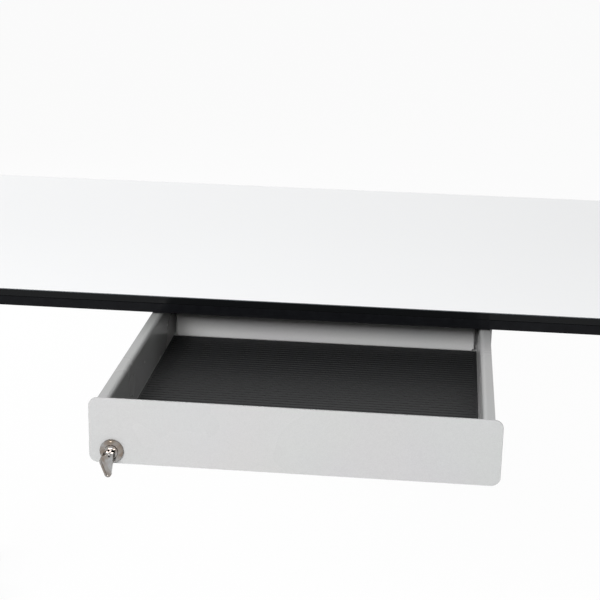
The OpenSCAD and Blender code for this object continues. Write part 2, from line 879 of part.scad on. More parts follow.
// One side of the folded pan: wall, rounded bend, flange and hem
module pan_side_section() {
    bend_in = flange_bend_r - pan_t;
    translate([wall_x, floor_top + bend_r]) square([pan_t, flange_z - flange_bend_r - floor_top - bend_r]);
    bend([wall_x + flange_bend_r, flange_z - flange_bend_r], bend_in, pan_t, LEFT, 1);
    translate([wall_x + flange_bend_r, flange_z - pan_t]) square([flange_x - wall_x - flange_bend_r, pan_t]);
    translate([flange_x - pan_t, flange_z - hem_h]) square([pan_t, hem_h]);
    bend([wall_x - bend_r, floor_top + bend_r], bend_r, pan_t, RIGHT, -1);
}

module front_stud_places() {
    for (x = front_stud_x) translate([x, panel_y + front_t, front_stud_z]) children();
}

module rivet_places() {
    for (x = rivet_x) translate([x, rivet_y, floor_top]) children();
}

// The space round the lock, cut from the pan and, a little wider, from its mat
module lock_notch(margin) {
    block([-slide_x - cut, panel_y, floor_z - cut], [notch_x, notch_y, notch_z] + margin * [1, 1, 1]);
}

module drawer_pan() {
    front = panel_y + front_t;
    color(silver) difference() {
        union() {
            for (side = SIDES) on_side(side) pull_y(front, pan_end - front) pan_side_section();
            block([-wall_x + bend_r, front, floor_z], [wall_x - bend_r, pan_end, floor_top]);
            block([-front_wall_w / 2, front, floor_z], [front_wall_w / 2, front + pan_t, front_wall_top]);
        }
        lock_notch(0);
        front_stud_places() rod_y([0, -cut, 0], pan_t + 2 * cut, front_stud_hole);
        rivet_places() rod_z([0, 0, -pan_t - cut], pan_t + 2 * cut, rivet_d + 2 * fit);
        for (side = SIDES) on_side(side) slide_fixing_places(inner_y)
            rod_x([wall_x - cut, 0, 0], pan_t + 2 * cut, screw_d + 2 * fit);
    }
}

// The back's wall with its foot and its top flange, both turned to the rear
module back_section() {
    low = [back_y + back_corner, floor_top + back_corner];
    high = [low[0], flange_z - back_corner];
    translate([low[0], floor_top]) square([pan_end - low[0], pan_t]);
    bend(low, bend_r, pan_t, LEFT, -1);
    translate([back_y, low[1]]) square([pan_t, high[1] - low[1]]);
    bend(high, bend_r, pan_t, LEFT, 1);
    translate([high[0], flange_z - pan_t]) square([back_flange - bend_r, pan_t]);
}

// A side return of the back, drawn in plan
module back_return_section() {
    corner = [back_w / 2 - back_corner, back_y + back_corner];
    bend(corner, bend_r, pan_t, RIGHT, -1);
    translate([back_w / 2 - pan_t, corner[1]]) square([pan_t, pan_end - corner[1]]);
}

// The lip at the rear of a side return, turned out to the pan's wall, its foot following the pan's bend
module back_lip_section() {
    inside = back_w / 2 - pan_t;
    outside = wall_x - back_lip_gap;
    low = floor_top + back_lip_gap;
    high = flange_z - back_corner;
    corner = [wall_x - bend_r, floor_top + bend_r];
    foot = [for (angle = [-90, -45, 0]) corner + (bend_r - back_lip_gap) * [cos(angle), sin(angle)]];
    polygon(concat([[inside, low]], foot, [[outside, high], [inside, high]]));
}

module drawer_back() {
    return_h = flange_z - floor_top - 2 * back_corner;
    color(silver) difference() {
        union() {
            pull_x(-back_w / 2 + back_corner, back_w - 2 * back_corner) back_section();
            for (side = SIDES) on_side(side) translate([0, 0, floor_top + back_corner])
                linear_extrude(return_h) back_return_section();
            for (side = SIDES) on_side(side) pull_y(pan_end - pan_t, pan_t) back_lip_section();
        }
        rivet_places() rod_z([0, 0, -cut], pan_t + 2 * cut, rivet_d + 2 * fit);
    }
}

module back_rivets() {
    color(zinc) rivet_places() {
        translate([0, 0, pan_t]) screw(rivet_head_d, rivet_head_h, rivet_d, 2 * pan_t);
        translate([0, 0, -pan_t]) rotate([180, 0, 0])
            cylinder(h = rivet_head_h, d1 = rivet_head_d, d2 = head_taper * rivet_head_d);
    }
}

module drawer_front() {
    color(silver) {
        difference() {
            translate([0, panel_y + front_t, panel_z + front_h / 2]) rotate([90, 0, 0])
                edged_plate([front_w, front_h, front_t], front_corner_r, front_arris);
            rod_y([lock_x, panel_y - cut, lock_z], front_t + 2 * cut, barrel_d + 2 * fit);
        }
        front_stud_places() rod_y([0, 0, 0], stud_l, screw_d);
    }
}

module front_nuts() {
    color(zinc) front_stud_places()
        translate([0, pan_t, 0]) rotate([-90, 0, 0]) hex_nut(nut_af, nut_t, screw_d);
}

// The mat lies from wall to wall, its lower edges bevelled to clear the bends
module mat_section() {
    high = wall_x - mat_margin;
    low = high - bend_r;
    polygon([[-low, floor_top], [low, floor_top], [high, floor_top + mat_t], [-high, floor_top + mat_t]]);
}

module drawer_mat() {
    from = panel_y + front_t + pan_t + mat_margin;
    color(black) difference() {
        pull_y(from, back_y - mat_margin - from) mat_section();
        lock_notch(mat_margin);
    }
}

// Lock and key

// A shape drawn about +Z from z = 0 at the front's face, turned to run into the drawer
module in_lock() { translate([lock_x, panel_y, lock_z]) rotate([-90, 0, 0]) children(); }

// What turns with the key leans with it
module leaned() {
    translate([lock_x, 0, lock_z]) rotate([0, key_lean, 0]) translate([-lock_x, 0, -lock_z]) children();
}

module keyway(gap) {
    square([blade_t, blade_w] + 2 * [gap, gap], center = true);
}

module lock_barrel() {
    flange_r = lock_flange_d / 2;
    color(chrome) in_lock() difference() {
        union() {
            translate([0, 0, -lock_flange_t]) rotate_extrude() polygon([
                [0, 0], [flange_r - lock_flange_bevel, 0], [flange_r, lock_flange_bevel],
                [flange_r, lock_flange_t], [0, lock_flange_t]]);
            cylinder(h = barrel_l, d = barrel_d);
        }
        translate([0, 0, -lock_flange_t - cut])
            cylinder(h = barrel_l + lock_flange_t + 2 * cut, d = plug_d + 2 * fit);
        translate([0, 0, -lock_flange_t - cut])
            cylinder(h = plug_bore_depth + cut, d = plug_head_d + 2 * fit);
    }
}

module lock_nut() {
    color(zinc) in_lock() translate([0, 0, front_t]) hex_nut(lock_nut_af, lock_nut_t, barrel_d);
}

module lock_plug() {
    head_from = -lock_flange_t - plug_head_t;
    head_to = -lock_flange_t + plug_bore_depth - slip;
    tail = barrel_l + slip;
    head_r = plug_head_d / 2;
    color(chrome) leaned() in_lock() difference() {
        union() {
            rotate_extrude() polygon([
                [0, head_from], [head_r - plug_bevel, head_from], [head_r, head_from + plug_bevel],
                [head_r, head_to], [0, head_to]]);
            translate([0, 0, head_to]) cylinder(h = tail - head_to, d = plug_d);
        }
        translate([0, 0, head_from - cut]) linear_extrude(blade_l + blade_gap + cut) keyway(blade_gap);
        translate([0, 0, tail - cam_screw_l]) cylinder(h = cam_screw_l + cut, d = cam_screw_d + 2 * fit);
    }
}

// Unlocked, the cam points in through the notch; half a turn sends it out behind the strike
module lock_cam() {
    color(zinc) translate([0, cam_y, 0]) difference() {
        pull_y(0, cam_t) {
            translate([lock_x, lock_z]) circle(d = cam_w);
            translate([lock_x, lock_z - cam_w / 2]) square([cam_reach, cam_w]);
        }
        rod_y([lock_x, -cut, lock_z], cam_t + 2 * cut, cam_screw_d + 2 * fit);
    }
}

module cam_screw() {
    color(zinc) translate([lock_x, cam_y + cam_t, lock_z])
        rotate([-90, 0, 0]) screw(cam_screw_head_d, cam_screw_head_h, cam_screw_d, cam_screw_l + cam_t - cam_screw_gap);
}

// The blade ends in an eye for the bow's hinge pin
module blade_section() {
    difference() {
        union() {
            circle(d = eye_d);
            translate([0, -eye_d / 2]) square([key_reach, eye_d]);
            translate([key_reach - blade_collar, -blade_w / 2]) square([blade_l + blade_collar, blade_w]);
        }
        circle(d = key_pin_d + 2 * fit);
    }
}

module key_blade() {
    color(chrome) leaned() translate([0, key_pin_y, lock_z])
        pull_x(lock_x - blade_t / 2, blade_t) blade_section();
}

module key_pin() {
    color(zinc) leaned() rod_x([lock_x - bow_shoulder_d / 2, key_pin_y, lock_z], bow_shoulder_d, key_pin_d);
}

// A leaf pulled along +Y: a wide round end above a narrow one, joined by straight flanks
module leaf(from, length, wide_r, tip_r) {
    slope = asin((wide_r - tip_r) / bow_run);
    flank = [cos(slope), -sin(slope)];
    high = (wide_r - flank_inset) * flank;
    low = [0, -bow_run] + (tip_r - flank_inset) * flank;
    translate([-bow_set, 0, -bow_drop]) rotate([0, -bow_turn, 0]) {
        rod_y([0, from, 0], length, 2 * wide_r);
        rod_y([0, from, -bow_run], length, 2 * tip_r);
        pull_y(from, length) polygon([high, low, [-low[0], low[1]], [-high[0], high[1]]]);
    }
}

// The bow hangs from its pin: a forked shoulder, then a leaf with a sunk panel in each face
module key_bow() {
    face = key_pin_y - bow_t / 2;
    fork_w = blade_t + 2 * eye_gap;
    color(chrome) leaned() translate([lock_x, 0, lock_z]) difference() {
        union() {
            leaf(face, bow_t, bow_w / 2, bow_tip_r);
            block([-bow_shoulder_d / 2, face, -bow_drop], [bow_shoulder_d / 2, face + bow_t, bow_t / 2]);
        }
        block([-fork_w / 2, face - cut, -fork_depth], [fork_w / 2, face + bow_t + cut, bow_t / 2 + cut]);
        leaf(face - cut, cut + bow_panel_depth, bow_w / 2 - bow_rim, bow_tip_r - bow_rim);
        leaf(face + bow_t - bow_panel_depth, cut + bow_panel_depth, bow_w / 2 - bow_rim, bow_tip_r - bow_rim);
        rod_x([-bow_shoulder_d, key_pin_y, 0], 2 * bow_shoulder_d, key_pin_d + 2 * fit);
    }
}

foot_bar(LEFT);  // foot_bar_left
foot_bar(RIGHT);  // foot_bar_right
foot_caps();
foot_nuts();
levelling_foot(LEFT, FRONT);  // levelling_foot_front_left
levelling_foot(RIGHT, FRONT);  // levelling_foot_front_right
levelling_foot(LEFT, BACK);  // levelling_foot_back_left
levelling_foot(RIGHT, BACK);  // levelling_foot_back_right
column(LEFT);  // column_left
column(RIGHT);  // column_right
column_caps();
column_bolts();
crossbeam();
crossbeam_caps();
crossbeam_bolts();
pivot_pins();
pivot_nuts();
clamp_studs();
clamp_washers();
tilt_knob(LEFT);  // tilt_knob_left
tilt_knob(RIGHT);  // tilt_knob_right
glass_top();
top_board();
tilt_bracket(LEFT);  // tilt_bracket_left
tilt_bracket(RIGHT);  // tilt_bracket_right
bracket_screws();
pivot_bushes();
hanger(LEFT);  // hanger_left
hanger(RIGHT);  // hanger_right
hanger_screws();
slide_outer(LEFT);  // slide_outer_left
slide_outer(RIGHT);  // slide_outer_right
slide_outer_screws();
slide_middle(LEFT);  // slide_middle_left
slide_middle(RIGHT);  // slide_middle_right
outer_ball_cages();
inner_ball_cages();
drawer_pan();
drawer_back();
back_rivets();
drawer_front();
front_nuts();
drawer_mat();
slide_inner(LEFT);  // slide_inner_left
slide_inner(RIGHT);  // slide_inner_right
slide_inner_screws();
lock_barrel();
lock_nut();
lock_plug();
lock_cam();
cam_screw();
key_blade();
key_pin();
key_bow();
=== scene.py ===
import json
import math

import bmesh
import bpy
from mathutils import Matrix, Vector


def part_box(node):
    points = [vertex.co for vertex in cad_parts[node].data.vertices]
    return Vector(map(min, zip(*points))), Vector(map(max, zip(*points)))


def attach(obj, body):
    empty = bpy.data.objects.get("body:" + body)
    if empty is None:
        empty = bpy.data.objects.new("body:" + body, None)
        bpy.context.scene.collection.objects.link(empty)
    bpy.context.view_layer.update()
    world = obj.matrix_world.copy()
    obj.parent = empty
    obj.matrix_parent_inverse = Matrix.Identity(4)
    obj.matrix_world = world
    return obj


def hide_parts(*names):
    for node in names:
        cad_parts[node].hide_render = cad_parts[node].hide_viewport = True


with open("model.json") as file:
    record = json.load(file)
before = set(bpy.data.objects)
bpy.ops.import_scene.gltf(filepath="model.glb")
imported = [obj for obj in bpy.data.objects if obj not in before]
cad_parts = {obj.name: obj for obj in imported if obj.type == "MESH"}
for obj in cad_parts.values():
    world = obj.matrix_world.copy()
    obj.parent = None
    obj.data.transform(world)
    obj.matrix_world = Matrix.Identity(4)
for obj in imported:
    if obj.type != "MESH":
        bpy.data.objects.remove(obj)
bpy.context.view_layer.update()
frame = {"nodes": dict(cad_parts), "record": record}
nodes = frame["nodes"]

# The object's lengths are given in millimetres, and MM takes them to the scene's metres; the studio's are
# in metres
MM = 0.001
# Corners of a CAD mesh that lie closer than this are one corner
MERGE_MM = 0.002
HALF = 0.5
LEFT, RIGHT = -1, 1
# Edges of a turned or repeated piece that turn by more than this stay crisp
CRISP_DEG = 40
# The point attribute that says which way a fixing's head faces
FACING = "facing"
# Heads one unit across: distance from the axis, and share of the head's rise
SCREW_DOME = [(0, 0), (0.5, 0), (0.5, 0.3), (0.46, 0.62), (0.34, 0.9), (0.18, 1), (0, 1)]
RIVET_DOME = [(0, 0), (0.5, 0), (0.47, 0.35), (0.38, 0.7), (0.22, 0.93), (0, 1)]
# Radius of the round on the sharp edges of these CAD nodes
SOFT_EDGES_MM = {
    "lock_barrel": 0.35, "lock_plug": 0.3, "key_bow": 0.35, "key_blade": 0.2,
    "tilt_knob_left": 1.6, "tilt_knob_right": 1.6,
    "foot_caps": 0.8, "column_caps": 0.8, "crossbeam_caps": 0.8,
    "column_bolts": 0.5, "crossbeam_bolts": 0.5,
    "pivot_pins": 0.6, "pivot_nuts": 0.5, "clamp_washers": 0.3,
    "lock_cam": 0.3, "tilt_bracket_left": 0.5, "tilt_bracket_right": 0.5,
}


# Nodes

def linear(hex_colour):
    """An sRGB hex colour as the linear colour that a shader socket takes."""
    full, knee, slope, lift, gamma = 255, 0.04045, 12.92, 0.055, 2.4
    channels = [int(hex_colour[i:i + 2], 16) / full for i in (1, 3, 5)]
    return [c / slope if c <= knee else ((c + lift) / (1 + lift)) ** gamma for c in channels] + [1.0]


def per_metre(size_mm):
    """Texture scale whose features are about size_mm across."""
    return 1 / (size_mm * MM)


def add_node(tree, kind, settings=None, inputs=None):
    """Adds one node with its settings; each input is a plain value or another node's socket."""
    node = tree.nodes.new(kind)
    for name, value in (settings or {}).items():
        setattr(node, name, value)
    for socket, value in (inputs or {}).items():
        if isinstance(value, bpy.types.NodeSocket):
            tree.links.new(value, node.inputs[socket])
        else:
            node.inputs[socket].default_value = value
    return node


def calculated(tree, operation, first, second):
    """The result of one operation on two numbers."""
    return add_node(tree, "ShaderNodeMath", {"operation": operation}, {0: first, 1: second}).outputs[0]


def vector_of(tree, **parts):
    """A vector from its X, Y and Z parts; a part that isn't given is nought."""
    return add_node(tree, "ShaderNodeCombineXYZ", None, parts).outputs[0]


# Finishes: what each one is built from

def new_material(name):
    """A material whose tree is still empty."""
    material = bpy.data.materials.new(name)
    material.use_nodes = True
    material.node_tree.nodes.clear()
    return material, material.node_tree


def shade(tree, inputs):
    """Ends a finish with one shader that takes these inputs."""
    shader = add_node(tree, "ShaderNodeBsdfPrincipled", None, inputs)
    add_node(tree, "ShaderNodeOutputMaterial", None, {"Surface": shader.outputs["BSDF"]})


def noise(tree, place, size_mm, detail, distortion=0.0):
    """Soft clouds about size_mm across."""
    return add_node(tree, "ShaderNodeTexNoise", None, {
        "Vector": place, "Scale": per_metre(size_mm), "Detail": detail, "Distortion": distortion})


def spread(tree, value, within=(0.0, 1.0), to=(0.0, 1.0)):
    """A number taken from one range to another."""
    return add_node(tree, "ShaderNodeMapRange", None, {
        "Value": value, "From Min": within[0], "From Max": within[1],
        "To Min": to[0], "To Max": to[1]}).outputs["Result"]


def mixed(tree, share, first, second, blend="MIX"):
    """Two colours mixed by the second one's share."""
    return add_node(tree, "ShaderNodeMix", {"data_type": "RGBA", "blend_type": blend}, {
        "Factor": share, "A": first, "B": second}).outputs["Result"]


def bumped(tree, height, strength, height_mm):
    """Normals of a surface with this relief."""
    return add_node(tree, "ShaderNodeBump", None, {
        "Height": height, "Strength": strength, "Distance": height_mm * MM}).outputs["Normal"]


# Finishes

def white_backed_glass():
    """Float glass lacquered white behind, its edges ground and blacked: a white mirror with a dark rim. The
    ground arris along the top is grey, partly its own frosted tone and partly a painted highlight of the
    light it catches.
    """
    face_colour, edge_colour, arris_grey_and_highlight = linear("#fafbfc"), linear("#0f1011"), linear("#54585b")
    face_from, arris_from = 0.95, 0.35
    smear_mm, smear_detail, smear_range = 140, 5.0, (0.35, 0.7)
    roughness, refraction, shine = (0.02, 0.07), 1.52, 0.1
    material, tree = new_material("white_backed_glass")
    place = add_node(tree, "ShaderNodeTexCoord")
    up = add_node(tree, "ShaderNodeSeparateXYZ", None, {0: place.outputs["Normal"]}).outputs["Z"]
    # The upward-facing arris is painted grey: partly the ground glass's own tone, partly a painted highlight
    is_arris = calculated(tree, "GREATER_THAN", up, arris_from)
    is_face = calculated(tree, "GREATER_THAN", up, face_from)
    rim = mixed(tree, is_arris, edge_colour, arris_grey_and_highlight)
    smear = noise(tree, place.outputs["Object"], smear_mm, smear_detail)
    shade(tree, {
        "Base Color": mixed(tree, is_face, rim, face_colour),
        "Roughness": spread(tree, smear.outputs["Fac"], smear_range, roughness),
        "IOR": refraction, "Specular IOR Level": shine})
    return material


def black_gloss_lacquer():
    """Sprayed and polished lacquer on board: deep black with a wet gloss and a faint ripple."""
    ripple_mm, ripple_detail, ripple_strength, ripple_height_mm = 9, 2.0, 0.15, 0.03
    roughness, shine = 0.12, 0.05
    material, tree = new_material("black_gloss_lacquer")
    place = add_node(tree, "ShaderNodeTexCoord").outputs["Object"]
    ripple = noise(tree, place, ripple_mm, ripple_detail).outputs["Fac"]
    shade(tree, {
        "Base Color": mixed(tree, ripple, linear("#0c0c0e"), linear("#141517")),
        "Normal": bumped(tree, ripple, ripple_strength, ripple_height_mm),
        "Roughness": roughness, "Specular IOR Level": shine})
    return material


def silver_powder_coat():
    """Baked silver-grey powder on steel sheet: a soft sheen, fine mica speckle and a slight orange peel.
    Speckle and peel are drawn about three times their real size, to show in the render."""
    speckle_mm, speckle_detail, speckle_range = 0.9, 1.0, (0.3, 0.7)
    drift_mm, drift_detail, drift_share = 160, 3.0, 0.06
    peel_mm, peel_detail, peel_strength, peel_height_mm = 2.6, 2.0, 0.25, 0.06
    roughness, shine = (0.22, 0.32), 0.2
    material, tree = new_material("silver_powder_coat")
    place = add_node(tree, "ShaderNodeTexCoord").outputs["Object"]
    speckle = noise(tree, place, speckle_mm, speckle_detail)
    drift = noise(tree, place, drift_mm, drift_detail)
    peel = noise(tree, place, peel_mm, peel_detail)
    grain = spread(tree, speckle.outputs["Fac"], within=speckle_range)
    fleck = mixed(tree, grain, linear("#a5a5a5"), linear("#acacac"))
    shade(tree, {
        "Base Color": mixed(tree, drift_share, fleck, drift.outputs["Color"], "MULTIPLY"),
        "Roughness": spread(tree, drift.outputs["Fac"], to=roughness),
        "Normal": bumped(tree, peel.outputs["Fac"], peel_strength, peel_height_mm),
        "Specular IOR Level": shine})
    return material


def bright_zinc_plate():
    """Passivated zinc on pressed steel: pale metal with faint warm and blue clouds and a drawn grain."""
    cloud_mm, cloud_detail = 18, 4.0
    grain_mm, grain_detail, grain_stretch = 1.1, 3.0, 40
    roughness = (0.22, 0.42)
    material, tree = new_material("bright_zinc_plate")
    place = add_node(tree, "ShaderNodeTexCoord").outputs["Object"]
    drawn = add_node(tree, "ShaderNodeMapping", None, {"Vector": place, "Scale": (1, 1 / grain_stretch, 1)})
    cloud = noise(tree, place, cloud_mm, cloud_detail)
    grain = noise(tree, drawn.outputs["Vector"], grain_mm, grain_detail)
    shade(tree, {
        "Base Color": mixed(tree, cloud.outputs["Fac"], linear("#b3bac2"), linear("#c6c4ba")),
        "Roughness": spread(tree, grain.outputs["Fac"], to=roughness),
        "Metallic": 1.0})
    return material


def polished_chrome():
    """Nickel and thin chrome on a zinc casting: a grey mirror with hairline marks, and soft warm-brown and
    grey clouds painted into its colour as a painted reflection of a room."""
    hair_mm, hair_detail, hair_stretch, hair_range = 0.6, 4.0, 12, (0.4, 0.75)
    hair_turn, hair_share = (0.4, 0.7, 0.3), 0.3
    reflection_mm, reflection_detail, reflection_distortion, reflection_range = 14, 2.0, 0.6, (0.32, 0.66)
    roughness = (0.06, 0.16)
    material, tree = new_material("polished_chrome")
    place = add_node(tree, "ShaderNodeTexCoord").outputs["Object"]
    turned = add_node(tree, "ShaderNodeMapping", None, {
        "Vector": place, "Rotation": hair_turn, "Scale": (1, 1 / hair_stretch, 1)})
    hair = noise(tree, turned.outputs["Vector"], hair_mm, hair_detail)
    # Painted reflection: warm-brown and grey clouds in the plate's colour stand in for a room mirrored in
    # the chrome
    reflection_clouds = noise(tree, place, reflection_mm, reflection_detail, reflection_distortion)
    painted_reflection_share = spread(tree, reflection_clouds.outputs["Fac"], within=reflection_range)
    painted_reflection_tint = mixed(tree, painted_reflection_share, linear("#8f8378"), linear("#b4b5b6"))
    shade(tree, {
        "Base Color": mixed(tree, hair_share, painted_reflection_tint, hair.outputs["Color"], "MULTIPLY"),
        "Roughness": spread(tree, hair.outputs["Fac"], hair_range, roughness),
        "Metallic": 1.0})
    return material


def moulded_black_plastic():
    """Injection-moulded nylon with a spark-eroded grain: dark grey-black, dull, finely pitted."""
    grain_mm, grain_strength, grain_height_mm = 0.8, 0.3, 0.08
    roughness = (0.42, 0.6)
    material, tree = new_material("moulded_black_plastic")
    place = add_node(tree, "ShaderNodeTexCoord").outputs["Object"]
    cells = add_node(tree, "ShaderNodeTexVoronoi", None, {"Vector": place, "Scale": per_metre(grain_mm)})
    grain = cells.outputs["Distance"]
    shade(tree, {
        "Base Color": mixed(tree, grain, linear("#151618"), linear("#202225")),
        "Roughness": spread(tree, grain, to=roughness),
        "Normal": bumped(tree, grain, grain_strength, grain_height_mm)})
    return material


def ribbed_black_rubber():
    """Extruded rubber matting: near black, dull, with a little pale dust in the grain."""
    dust_mm, dust_detail = 3, 6.0
    roughness = (0.62, 0.85)
    material, tree = new_material("ribbed_black_rubber")
    place = add_node(tree, "ShaderNodeTexCoord").outputs["Object"]
    dust = noise(tree, place, dust_mm, dust_detail).outputs["Fac"]
    shade(tree, {
        "Base Color": mixed(tree, dust, linear("#0b0b0c"), linear("#191a1b")),
        "Roughness": spread(tree, dust, to=roughness)})
    return material


FINISHES = {
    "glass": white_backed_glass(),
    "lacquer": black_gloss_lacquer(),
    "silver": silver_powder_coat(),
    "zinc": bright_zinc_plate(),
    "chrome": polished_chrome(),
    "plastic": moulded_black_plastic(),
    "mat": ribbed_black_rubber(),
}
SLOT_OF = {part["node"]: part["material_slot"] for part in frame["record"]["subparts"]}
BODY_OF = {name: body for body, names in frame["record"]["behaviour"]["bodies"].items() for name in names}


def finish_cad_nodes():
    """Every CAD node takes the finish of its slot in the record."""
    for name, cad in nodes.items():
        for place in cad.material_slots:
            place.material = FINISHES[SLOT_OF[name]]


# Pieces and their meshes

def new_piece(name, mesh):
    """An object of the scene, at the origin."""
    piece = bpy.data.objects.new(name, mesh)
    bpy.context.scene.collection.objects.link(piece)
    return piece


def finish_piece(piece, material, body, slot, *replaced):
    """Gives a finished piece its material and its body, and hides the CAD nodes that it stands for; its slot
    is not used.
    """
    piece.data.materials.clear()
    piece.data.materials.append(material)
    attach(piece, body)
    if replaced:
        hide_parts(*replaced)


def settle(piece):
    """Turns what a piece's modifiers make into its plain mesh."""
    made = piece.evaluated_get(bpy.context.evaluated_depsgraph_get())
    finished = bpy.data.meshes.new_from_object(made)
    piece.modifiers.clear()
    piece.data = finished


def merged(name):
    """A working copy of a CAD node's mesh, with its doubled corners merged."""
    work = bmesh.new()
    work.from_mesh(nodes[name].data)
    bmesh.ops.remove_doubles(work, verts=work.verts, dist=MERGE_MM * MM)
    return work


def written(work, mesh):
    """Puts a working copy into a mesh, and lets the copy go."""
    work.to_mesh(mesh)
    work.free()
    return mesh


def smooth(mesh, crisp_deg):
    """Round faces shade smoothly, and edges sharper than the angle stay crisp."""
    mesh.polygons.foreach_set("use_smooth", [True] * len(mesh.polygons))
    mesh.set_sharp_from_angle(angle=math.radians(crisp_deg))


def lathe(name, profile, sides):
    """A closed shape turned about Z from (radius, height) points that start and end on the axis."""
    work = bmesh.new()
    step = 2 * math.pi / sides
    rings = []
    for radius, height in profile:
        around = 1 if radius == 0 else sides
        rings.append([work.verts.new((radius * math.cos(i * step), radius * math.sin(i * step), height))
                      for i in range(around)])
    for lower, upper in zip(rings, rings[1:]):
        for i in range(sides):
            corners = [lower[i % len(lower)], lower[(i + 1) % len(lower)],
                       upper[(i + 1) % len(upper)], upper[i % len(upper)]]
            work.faces.new(list(dict.fromkeys(corners)))
    bmesh.ops.recalc_face_normals(work, faces=work.faces)
    mesh = written(work, bpy.data.meshes.new(name))
    smooth(mesh, CRISP_DEG)
    return mesh


# Softened edges

def softened(name, radius_mm):
    """A merged copy of a CAD node with a small round on each sharp edge."""
    flat_deg, sharp_deg, round_steps = 0.3, 35, 2
    work = merged(name)
    bmesh.ops.dissolve_limit(work, angle_limit=math.radians(flat_deg), verts=work.verts, edges=work.edges)
    piece = new_piece(name + "_soft", written(work, nodes[name].data.copy()))
    bevel = piece.modifiers.new("round", "BEVEL")
    bevel.width = radius_mm * MM
    bevel.segments = round_steps
    bevel.limit_method = "ANGLE"
    bevel.angle_limit = math.radians(sharp_deg)
    bevel.harden_normals = True
    settle(piece)
    finish_piece(piece, FINISHES[SLOT_OF[name]], BODY_OF[name], SLOT_OF[name], name)


# Back wall of the drawer

def seated_back():
    """The back wall with its lips sprung out against the side walls, so that no light shows between them."""
    lip_gap_mm, bend_deg = 0.28, 30
    work = merged("drawer_back")
    reach = max(abs(corner.co.x) for corner in work.verts)
    for corner in work.verts:
        if abs(corner.co.x) > reach - MERGE_MM * MM:
            corner.co.x += math.copysign(lip_gap_mm * MM, corner.co.x)
    mesh = written(work, nodes["drawer_back"].data.copy())
    smooth(mesh, bend_deg)
    back = new_piece("drawer_back_seated", mesh)
    finish_piece(back, FINISHES["silver"], "drawer", "silver", "drawer_back")


# Geometry Nodes: what repeats

def new_tree(name, sizes, with_object=False):
    """A tree with named size inputs, and its group input and output nodes."""
    tree = bpy.data.node_groups.new(name, "GeometryNodeTree")
    tree.interface.new_socket("Geometry", in_out="INPUT", socket_type="NodeSocketGeometry")
    for size in sizes:
        tree.interface.new_socket(size, in_out="INPUT", socket_type="NodeSocketFloat")
    if with_object:
        tree.interface.new_socket("Pattern", in_out="INPUT", socket_type="NodeSocketObject")
    tree.interface.new_socket("Finish", in_out="INPUT", socket_type="NodeSocketMaterial")
    tree.interface.new_socket("Geometry", in_out="OUTPUT", socket_type="NodeSocketGeometry")
    given = tree.nodes.new("NodeGroupInput").outputs
    result = tree.nodes.new("NodeGroupOutput")
    return tree, given, result


def end_tree(tree, given, result, geometry):
    """Closes a tree with real geometry and its material."""
    real = add_node(tree, "GeometryNodeRealizeInstances", None, {"Geometry": geometry})
    dressed = add_node(tree, "GeometryNodeSetMaterial", None, {
        "Geometry": real.outputs["Geometry"], "Material": given["Finish"]})
    tree.links.new(dressed.outputs["Geometry"], result.inputs["Geometry"])


def grown(name, mesh, tree, values):
    """A piece that a tree makes from a mesh, as a plain mesh."""
    piece = new_piece(name, mesh)
    modifier = piece.modifiers.new("make", "NODES")
    modifier.node_group = tree
    sockets = {item.name: item.identifier for item in tree.interface.items_tree if item.in_out == "INPUT"}
    for socket, value in values.items():
        modifier[sockets[socket]] = value
    piece.update_tag()
    settle(piece)
    return piece


def points_mesh(name, places):
    """Loose points for a tree to build on."""
    mesh = bpy.data.meshes.new(name)
    mesh.from_pydata(places, [], [])
    return mesh


def ribs_tree():
    """Half-round ribs side by side along Y, each one running along X, sunk to half in the mat's base."""
    rib_sides = 10
    tree, given, result = new_tree("mat_ribs", ["Width", "Length", "Pitch", "Rib"])
    first = vector_of(tree, X=calculated(tree, "MULTIPLY", given["Width"], -HALF),
                      Y=calculated(tree, "MULTIPLY", given["Pitch"], HALF))
    row = add_node(tree, "GeometryNodeMeshLine", None, {
        "Count": calculated(tree, "DIVIDE", given["Length"], given["Pitch"]),
        "Start Location": first, "Offset": vector_of(tree, Y=given["Pitch"])})
    line = add_node(tree, "GeometryNodeCurvePrimitiveLine", None, {"End": vector_of(tree, X=given["Width"])})
    profile = add_node(tree, "GeometryNodeCurvePrimitiveCircle", None, {
        "Resolution": rib_sides, "Radius": given["Rib"]})
    rib = add_node(tree, "GeometryNodeCurveToMesh", None, {
        "Curve": line.outputs["Curve"], "Profile Curve": profile.outputs["Curve"], "Fill Caps": True})
    ribs = add_node(tree, "GeometryNodeInstanceOnPoints", None, {
        "Points": row.outputs["Mesh"], "Instance": rib.outputs["Mesh"]})
    end_tree(tree, given, result, ribs.outputs["Instances"])
    return tree


